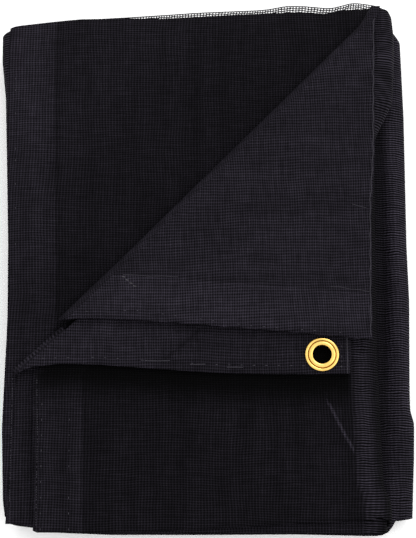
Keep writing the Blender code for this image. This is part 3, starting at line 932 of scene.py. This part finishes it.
def sewn_stitches_tree():
    """Stitches of about one length at even steps along each line."""
    sizes = [(name, "Float") for name in ("Stitch Step", "Stitch Length", "Thread Radius", "Kept Share")]
    tree, given = new_node_tree("Sewn stitches", (*sizes, ("Seed", "Int"), ("Material", "Material")))
    curve = add_node(tree, "GeometryNodeMeshToCurve", {"Mesh": given["Geometry"]})
    inputs = {"Curve": curve.outputs["Curve"], "Length": given["Stitch Step"]}
    spread = add_node(tree, "GeometryNodeCurveToPoints", inputs, mode="LENGTH")
    inputs = {"Probability": given["Kept Share"], "Seed": given["Seed"]}
    kept = add_node(tree, "FunctionNodeRandomValue", inputs, data_type="BOOLEAN")
    inputs = {2: STITCH_LEAST, 3: STITCH_MOST, "Seed": given["Seed"]}
    uneven = add_node(tree, "FunctionNodeRandomValue", inputs, data_type="FLOAT")
    half = maths(tree, "MULTIPLY", given["Stitch Length"], uneven.outputs[1])
    inputs = {"X": given["Thread Radius"], "Y": given["Thread Radius"], "Z": half}
    size = add_node(tree, "ShaderNodeCombineXYZ", inputs)
    inputs = {"Segments": STITCH_SEGMENTS, "Rings": STITCH_RINGS, "Radius": 1.0}
    stitch = add_node(tree, "GeometryNodeMeshUVSphere", inputs)
    smooth = add_node(tree, "GeometryNodeSetShadeSmooth", {"Geometry": stitch.outputs["Mesh"]})
    inputs = {
        "Points": spread.outputs["Points"],
        "Rotation": spread.outputs["Rotation"],
        "Selection": kept.outputs[3],
        "Instance": smooth.outputs["Geometry"],
        "Scale": size.outputs["Vector"],
    }
    placed = add_node(tree, "GeometryNodeInstanceOnPoints", inputs)
    return finish_node_tree(tree, given, placed.outputs["Instances"])


def laid_threads_tree():
    """A round thread along each line."""
    sockets = (("Thread Radius", "Float"), ("Sides", "Int"), ("Material", "Material"))
    tree, given = new_node_tree("Laid threads", sockets)
    curve = add_node(tree, "GeometryNodeMeshToCurve", {"Mesh": given["Geometry"]})
    inputs = {"Radius": given["Thread Radius"], "Resolution": given["Sides"]}
    ring = add_node(tree, "GeometryNodeCurvePrimitiveCircle", inputs)
    inputs = {"Curve": curve.outputs["Curve"], "Profile Curve": ring.outputs["Curve"], "Fill Caps": True}
    tube = add_node(tree, "GeometryNodeCurveToMesh", inputs)
    smooth = add_node(tree, "GeometryNodeSetShadeSmooth", {"Geometry": tube.outputs["Mesh"]})
    return finish_node_tree(tree, given, smooth.outputs["Geometry"])


def made_by_nodes(name, lines, tree, settings):
    """A piece that a node tree makes from bent lines of (x, y, z)."""
    points, edges = [], []
    for line in lines:
        edges += [(len(points) + n, len(points) + n + 1) for n in range(len(line) - 1)]
        points += line
    guide = bpy.data.meshes.new(name + " guide")
    guide.from_pydata(in_place(points), edges, [])
    item = in_scene(name, guide)
    maker = item.modifiers.new(tree.name, "NODES")
    maker.node_group = tree
    for socket in tree.interface.items_tree:
        if socket.in_out == "INPUT" and socket.name in settings:
            maker[socket.identifier] = settings[socket.name]
    made = bpy.data.meshes.new_from_object(item.evaluated_get(bpy.context.evaluated_depsgraph_get()))
    item.modifiers.remove(maker)
    item.data = made
    made.name = name
    bpy.data.meshes.remove(guide)
    return item


def smooth_edge(edge, x):
    """An edge table read softly, without sharp bends."""
    return sum(read_edge(edge, x + shift) for shift in EDGE_SHIFTS) / len(EDGE_SHIFTS)


def net_lines():
    """Threads of the single ply that reaches past the far edge: lengthwise, crosswise and along its edge."""
    lines = []
    columns = np.arange(NET_LEFT_X, NET_RIGHT_X, LENGTHWISE_THREAD_STEP)
    for x in columns:
        near, far = float(read_edge(FAR_EDGE, x)) - NET_TUCK, float(smooth_edge(SHEER_EDGE, x))
        lean = NET_LEAN + NET_LEAN_SWAY * math.sin(x * NET_LEAN_WAVE)
        lines.append([(x + lean * part, between(near, far, part)) for part in NET_STATIONS])
    for row in range(1, NET_ROWS + 1):
        line = []
        for x in columns:
            y = float(smooth_edge(SHEER_EDGE, x)) - row * CROSSWISE_THREAD_STEP
            if y > float(read_edge(FAR_EDGE, x)) - NET_ROW_TUCK:
                line.append((x, y + NET_SWAY * math.sin(x * NET_WAVE + row)))
            elif line:
                lines.append(line)
                line = []
        if line:
            lines.append(line)
    along_edge = np.arange(NET_LEFT_X, NET_RIGHT_X + NET_EDGE_OVERRUN, NET_EDGE_STEP)
    lines.append([(x, smooth_edge(SHEER_EDGE, x)) for x in along_edge])
    return [[on_face(third_face, x, y) for x, y in line] for line in lines if len(line) > 1]


def thread_pieces(dark_thread, net_thread, painted_glint_thread):
    """Every seam, loose thread, glint and the net, each made as a piece of its own."""
    stitches, threads = sewn_stitches_tree(), laid_threads_tree()
    pieces = []
    for seed, (name, face, step, length, kept, line) in enumerate(SEAMS):
        settings = {
            "Stitch Step": step * MM,
            "Stitch Length": length * MM,
            "Thread Radius": SEAM_THREAD_RADIUS * MM,
            "Kept Share": kept,
            "Seed": seed,
            "Material": dark_thread,
        }
        pieces.append(made_by_nodes(name, [laid_line(face, line)], stitches, settings))
    (from_x, from_y), (to_x, to_y) = GLINT_FROM, GLINT_TO
    glints = [((x + from_x, y + from_y), (x + to_x, y + to_y)) for x, y in GLINTS]
    strip_lines = [laid_line(strip_face, line) for line in STRIP_THREADS]
    corner_lines = [laid_line(corner_face, line) for line in CORNER_THREADS]
    for name, lines, radius, material in (
        ("strip_threads", strip_lines, LOOSE_THREAD_RADIUS, dark_thread),
        ("corner_threads", corner_lines, THIN_THREAD_RADIUS, dark_thread),
        ("corner_edge_thread", [corner_edge_line()], LOOSE_THREAD_RADIUS, dark_thread),
        ("far_edge_net", net_lines(), NET_THREAD_RADIUS, net_thread),
        # Glints are short threads painted pale, a painted highlight
        ("corner_glints", [laid_line(corner_face, line) for line in glints], SEAM_THREAD_RADIUS, painted_glint_thread),
    ):
        settings = {"Thread Radius": radius * MM, "Sides": THREAD_SIDES, "Material": material}
        pieces.append(made_by_nodes(name, lines, threads, settings))
    return pieces


def corner_edge_line():
    """The curled thread along the turned corner's right edge."""
    line = []
    for y in np.arange(CURL_NEAR_Y, CURL_FAR_Y, CURL_STEP):
        x = float(read_edge(CORNER_RIGHT_EDGE, y)) - CURL_INSET + CURL_SWAY * math.sin(y * CURL_WAVE)
        line.append(on_face(corner_face, x, y, THREAD_LIFT))
    return line


# Knitted mesh: how far its threads stray, in metres, and how many soft waves of that there are in a metre
DRIFT, DRIFT_SCALE = 0.006, 14.0
FLAT_STRAY, RIB_STRAY, STRAY_SCALE = 0.0008, 0.0018, 95.0
THREAD_EDGE_LOW, THREAD_EDGE_HIGH = -0.7, 0.95
RIB_THINNING = -0.75
THREAD_WEIGHT, KNOT_WEIGHT, KNOT_HEIGHT = 0.45, 0.35, 0.5
# Painted sheen on the ribbed folds: crosswise threads are painted lighter and the gaps between them darker
RIB_SHEEN_GAIN, RIB_SHADE = 1.9, 0.85

# Streaks, bands and patches: how strong, and how many waves a metre each way
ACROSS_GAIN, ACROSS_SCALE = 1.3, (60.0, 570.0, 1.0)
ALONG_GAIN, ALONG_SCALE = 1.0, (465.0, 60.0, 1.0)
BAND_GAIN, BAND_SCALE = 0.8, (75.0, 5.0, 1.0)
PATCH_GAIN, PATCH_SCALE = 0.6, 18.0

# Where hems and creases end, in metres, how high they stand against the threads, and the cloth's relief
HEM_START, HEM_END = 0.0345, 0.0358
CREASE_START, CREASE_END = 0.0002, 0.0017
HEM_STEP, CREASE_STEP = 1.2, 1.5
RELIEF_STRENGTH, RELIEF_HEIGHT = 0.8, 0.00045
GAP_ROUGHNESS, THREAD_ROUGHNESS = 0.8, 0.5

# Fibres of single threads, and cloudiness of the brass and the floor, in waves a metre
FIBRE_SCALE, FIBRE_DARK, FIBRE_PALE = 700.0, 0.55, 1.45
FIBRE_ROUGH, FIBRE_SMOOTH = 0.6, 0.4
BRASS_DARK, BRASS_PALE, BRASS_CLOUD_SCALE = (0.70, 0.43, 0.10), (0.86, 0.60, 0.19), 420.0
BRASS_SMOOTH, BRASS_ROUGH, BRASS_GRAIN_SCALE = 0.16, 0.30, 2600.0
FLOOR_DARK, FLOOR_PALE, FLOOR_SCALE = (0.90, 0.90, 0.90), (0.92, 0.92, 0.92), 3.0
FLOOR_ROUGHNESS = 0.9
NOISE_LOW, NOISE_HIGH = 0.3, 0.7

# How much detail a noise has
SOFT, MEDIUM, FINE = 1.0, 2.0, 3.0


def new_material(name):
    material = bpy.data.materials.new(name)
    material.use_nodes = True
    tree = material.node_tree
    tree.nodes.clear()
    shader = tree.nodes.new("ShaderNodeBsdfPrincipled")
    add_node(tree, "ShaderNodeOutputMaterial", {"Surface": shader.outputs["BSDF"]})
    return material, tree, shader


def maths(tree, operation, *values):
    return add_node(tree, "ShaderNodeMath", enumerate(values), operation=operation).outputs[0]


def remap(tree, value, from_low, from_high, to_low=0.0, to_high=1.0):
    inputs = {
        "Value": value,
        "From Min": from_low,
        "From Max": from_high,
        "To Min": to_low,
        "To Max": to_high,
    }
    return add_node(tree, "ShaderNodeMapRange", inputs, interpolation_type="SMOOTHSTEP").outputs["Result"]


def varied(tree, value, gain):
    """A factor that swings round one with a noise value."""
    return maths(tree, "MULTIPLY_ADD", value, gain, 1.0 - gain / 2)


def inside(tree, gap, start, end):
    """One where the gap is under the start, softly down to nought at the end."""
    return maths(tree, "SUBTRACT", 1.0, remap(tree, gap, start, end))


def noise(tree, vector, scale, detail):
    inputs = {"Vector": vector, "Scale": scale, "Detail": detail}
    return add_node(tree, "ShaderNodeTexNoise", inputs).outputs["Fac"]


def mix_colour(tree, share, first, second):
    inputs = {0: share, 6: (*first, 1.0), 7: (*second, 1.0)}
    return add_node(tree, "ShaderNodeMix", inputs, data_type="RGBA").outputs[2]


def attribute_value(tree, name):
    return add_node(tree, "ShaderNodeAttribute", attribute_name=name).outputs["Fac"]


def stretched(tree, vector, scale):
    return add_node(tree, "ShaderNodeVectorMath", {0: vector, 1: scale}, operation="MULTIPLY").outputs[0]


def knitted_mesh_group():
    """Threads of a knitted mesh on the flat cloth: their height, their share of a spot, and how light they
    are painted, with a painted sheen on the ribbed folds.
    """
    group = bpy.data.node_groups.new("Knitted mesh", "ShaderNodeTree")
    group.interface.new_socket("Flat Place", in_out="INPUT", socket_type="NodeSocketVector")
    for name, value in (
        ("Lengthwise Step", LENGTHWISE_THREAD_STEP * MM),
        ("Crosswise Step", CROSSWISE_THREAD_STEP * MM),
        ("Rib", 0.0),
    ):
        socket = group.interface.new_socket(name, in_out="INPUT", socket_type="NodeSocketFloat")
        socket.default_value = value
    for name in ("Height", "Thread", "Light"):
        group.interface.new_socket(name, in_out="OUTPUT", socket_type="NodeSocketFloat")
    given = group.nodes.new("NodeGroupInput").outputs
    place, rib = given["Flat Place"], given["Rib"]

    split = add_node(group, "ShaderNodeSeparateXYZ", {0: place})
    drift = maths(group, "SUBTRACT", noise(group, place, DRIFT_SCALE, SOFT), 0.5)
    drift = maths(group, "MULTIPLY", drift, DRIFT)
    stray = maths(group, "SUBTRACT", noise(group, place, STRAY_SCALE, SOFT), 0.5)
    stray = maths(group, "MULTIPLY", stray, maths(group, "MULTIPLY_ADD", rib, RIB_STRAY, FLAT_STRAY))
    drift = maths(group, "ADD", drift, stray)
    profiles = []
    for axis, step_name in (("X", "Lengthwise Step"), ("Y", "Crosswise Step")):
        shifted = maths(group, "ADD", split.outputs[axis], drift)
        turns = maths(group, "DIVIDE", shifted, given[step_name])
        wave = maths(group, "COSINE", maths(group, "MULTIPLY", turns, 2.0 * math.pi))
        profiles.append(remap(group, wave, THREAD_EDGE_LOW, THREAD_EDGE_HIGH))
    lengthwise, crosswise = profiles
    lengthwise = maths(group, "MULTIPLY", lengthwise, maths(group, "MULTIPLY_ADD", rib, RIB_THINNING, 1.0))
    knot = maths(group, "MULTIPLY", lengthwise, crosswise)
    thread = maths(group, "MULTIPLY", maths(group, "ADD", lengthwise, crosswise), THREAD_WEIGHT)
    thread = maths(group, "MULTIPLY_ADD", knot, KNOT_WEIGHT, thread)
    height = maths(group, "MULTIPLY_ADD", knot, KNOT_HEIGHT, thread)

    across = varied(group, noise(group, stretched(group, place, ACROSS_SCALE), 1.0, MEDIUM), ACROSS_GAIN)
    along = varied(group, noise(group, stretched(group, place, ALONG_SCALE), 1.0, MEDIUM), ALONG_GAIN)
    # Painted sheen on the crosswise threads of the ribbed folds
    painted_rib_sheen = maths(group, "SUBTRACT", maths(group, "MULTIPLY", crosswise, RIB_SHEEN_GAIN), RIB_SHADE)
    painted_rib_sheen = maths(group, "MULTIPLY_ADD", rib, painted_rib_sheen, 1.0)
    light = maths(group, "MULTIPLY", maths(group, "MULTIPLY", across, along), painted_rib_sheen)
    add_node(group, "NodeGroupOutput", {"Height": height, "Thread": thread, "Light": light})
    return group


def mesh_cloth_material(group):
    material, tree, shader = new_material("black knitted mesh")
    place = add_node(tree, "ShaderNodeUVMap", uv_map="flat_cloth").outputs["UV"]
    inputs = {"Flat Place": place, "Rib": attribute_value(tree, "rib")}
    weave = add_node(tree, "ShaderNodeGroup", inputs, node_tree=group).outputs

    hem = inside(tree, attribute_value(tree, "hem_gap"), HEM_START, HEM_END)
    crease_gap = maths(tree, "ABSOLUTE", attribute_value(tree, "crease_gap"))
    crease = inside(tree, crease_gap, CREASE_START, CREASE_END)
    patches = noise(tree, place, PATCH_SCALE, FINE)
    bands = noise(tree, stretched(tree, place, BAND_SCALE), 1.0, SOFT)

    # The tone attribute holds painted shade and painted light besides the cloth's own lightness; the crease
    # factor is a painted highlight along the crease
    bright = attribute_value(tree, "tone")
    for factor in (
        weave["Light"],
        maths(tree, "MULTIPLY_ADD", hem, HEM_GAIN, 1.0),
        maths(tree, "MULTIPLY_ADD", crease, CREASE_HIGHLIGHT_GAIN, 1.0),
        varied(tree, patches, PATCH_GAIN),
        varied(tree, bands, BAND_GAIN),
    ):
        bright = maths(tree, "MULTIPLY", bright, factor)
    threads = mix_colour(tree, weave["Thread"], GAP_COLOUR, THREAD_COLOUR)
    scaled = add_node(tree, "ShaderNodeVectorMath", {0: threads, "Scale": bright}, operation="SCALE")
    tree.links.new(scaled.outputs[0], shader.inputs["Base Color"])
    rough = remap(tree, weave["Thread"], 0.0, 1.0, GAP_ROUGHNESS, THREAD_ROUGHNESS)
    tree.links.new(rough, shader.inputs["Roughness"])
    shader.inputs["Specular IOR Level"].default_value = CLOTH_GLOSS

    height = maths(tree, "MULTIPLY_ADD", hem, HEM_STEP, weave["Height"])
    height = maths(tree, "MULTIPLY_ADD", crease, CREASE_STEP, height)
    inputs = {"Strength": RELIEF_STRENGTH, "Distance": RELIEF_HEIGHT, "Height": height}
    bump = add_node(tree, "ShaderNodeBump", inputs)
    tree.links.new(bump.outputs["Normal"], shader.inputs["Normal"])
    return material


def clouded_material(name, scale, detail, darker, paler):
    """A material whose colour varies softly, with the place and the noise that it varies by."""
    material, tree, shader = new_material(name)
    place = tree.nodes.new("ShaderNodeTexCoord").outputs["Object"]
    cloud = noise(tree, place, scale, detail)
    tree.links.new(mix_colour(tree, cloud, darker, paler), shader.inputs["Base Color"])
    return material, tree, shader, place, cloud


def thread_material(name, colour):
    darker, paler = (tuple(channel * share for channel in colour) for share in (FIBRE_DARK, FIBRE_PALE))
    material, tree, shader, _, fibres = clouded_material(name, FIBRE_SCALE, MEDIUM, darker, paler)
    rough = remap(tree, fibres, NOISE_LOW, NOISE_HIGH, FIBRE_ROUGH, FIBRE_SMOOTH)
    tree.links.new(rough, shader.inputs["Roughness"])
    shader.inputs["Specular IOR Level"].default_value = CLOTH_GLOSS
    return material


def brass_material():
    material, tree, shader, place, _ = clouded_material(
        "polished brass", BRASS_CLOUD_SCALE, FINE, BRASS_DARK, BRASS_PALE
    )
    grain = noise(tree, place, BRASS_GRAIN_SCALE, MEDIUM)
    rough = remap(tree, grain, NOISE_LOW, NOISE_HIGH, BRASS_SMOOTH, BRASS_ROUGH)
    tree.links.new(rough, shader.inputs["Roughness"])
    shader.inputs["Metallic"].default_value = 1.0
    return material


# Floor, half as wide as this each way, and light: each lamp's place and size in metres, its power in watts
FLOOR_HALF = 2500
ROOM_LIGHT = 1.45
LAMPS = (
    # (name, place, size, power)
    ("right window", (1.0, -0.1, 0.75), 0.9, 3.0),
    ("far softbox", (0.6, 0.9, 1.1), 0.6, 6.5),
)


def floor_and_light():
    material, _, shader, *_ = clouded_material("white floor", FLOOR_SCALE, SOFT, FLOOR_DARK, FLOOR_PALE)
    shader.inputs["Roughness"].default_value = FLOOR_ROUGHNESS
    corners = [(x * FLOOR_HALF, y * FLOOR_HALF, 0) for x, y in ((-1, -1), (1, -1), (1, 1), (-1, 1))]
    floor = new_piece("floor", corners, [(0, 1, 2, 3)], material)

    world = bpy.data.worlds.new("soft white room")
    world.use_nodes = True
    background = world.node_tree.nodes["Background"]
    background.inputs["Color"].default_value = (1.0, 1.0, 1.0, 1.0)
    background.inputs["Strength"].default_value = ROOM_LIGHT
    bpy.context.scene.world = world

    for name, place, size, power in LAMPS:
        light = bpy.data.lights.new(name, "AREA")
        light.shape = "SQUARE"
        light.size = size
        light.energy = power
        lamp = in_scene(name, light)
        lamp.location = place
        lamp.rotation_euler = look_at(place, (0.0, 0.0, 0.0))


def look_at(place, target):
    """Rotation that points a lamp from its place to a target."""
    return (Vector(target) - Vector(place)).to_track_quat("-Z", "Y").to_euler()


# The camera looks down, leaning a little towards the near edge
CAMERA_DISTANCE = 1150.0
CAMERA_LEAN = math.radians(13.0)
CAMERA_LENS = 105.9
CAMERA_SENSOR = 36.0
CAMERA_NEAREST = 0.01
CAMERA_AIM_Z = 41.0


def photo_camera():
    camera = bpy.data.cameras.new("camera")
    camera.lens = CAMERA_LENS
    camera.sensor_width = CAMERA_SENSOR
    camera.clip_start = CAMERA_NEAREST
    item = in_scene("camera", camera)
    target = np.array((-MIDDLE_X, -MIDDLE_Y, CAMERA_AIM_Z)) * MM
    back = np.array((0.0, -math.sin(CAMERA_LEAN), math.cos(CAMERA_LEAN)))
    item.location = target + back * CAMERA_DISTANCE * MM
    item.rotation_euler = (CAMERA_LEAN, 0.0, 0.0)
    bpy.context.scene.camera = item


mesh_material = mesh_cloth_material(knitted_mesh_group())
brass = brass_material()
bpy.context.scene.view_settings.view_transform = "Standard"

tarp = tarp_cloth(mesh_material)
strip = strip_cloth(mesh_material)
eyelet, washer = grommet_pieces(brass)
dark_thread = thread_material("black sewing thread", DARK_THREAD)
net_thread = thread_material("black mesh thread", NET_THREAD)
# Pale thread for the glints, a painted highlight
painted_glint_thread = thread_material("thread painted pale for glints", PAINTED_GLINT_THREAD)
threads = thread_pieces(dark_thread, net_thread, painted_glint_thread)
floor_and_light()
photo_camera()

for piece, node, slot in (
    (tarp, "folded_tarp", "mesh_cloth"),
    (strip, "hem_strip", "hem_cloth"),
    (eyelet, "grommet_eyelet", "brass"),
    (washer, "grommet_washer", "brass"),
):
    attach(piece, "root")
    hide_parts(node)
for piece in threads:
    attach(piece, "root")
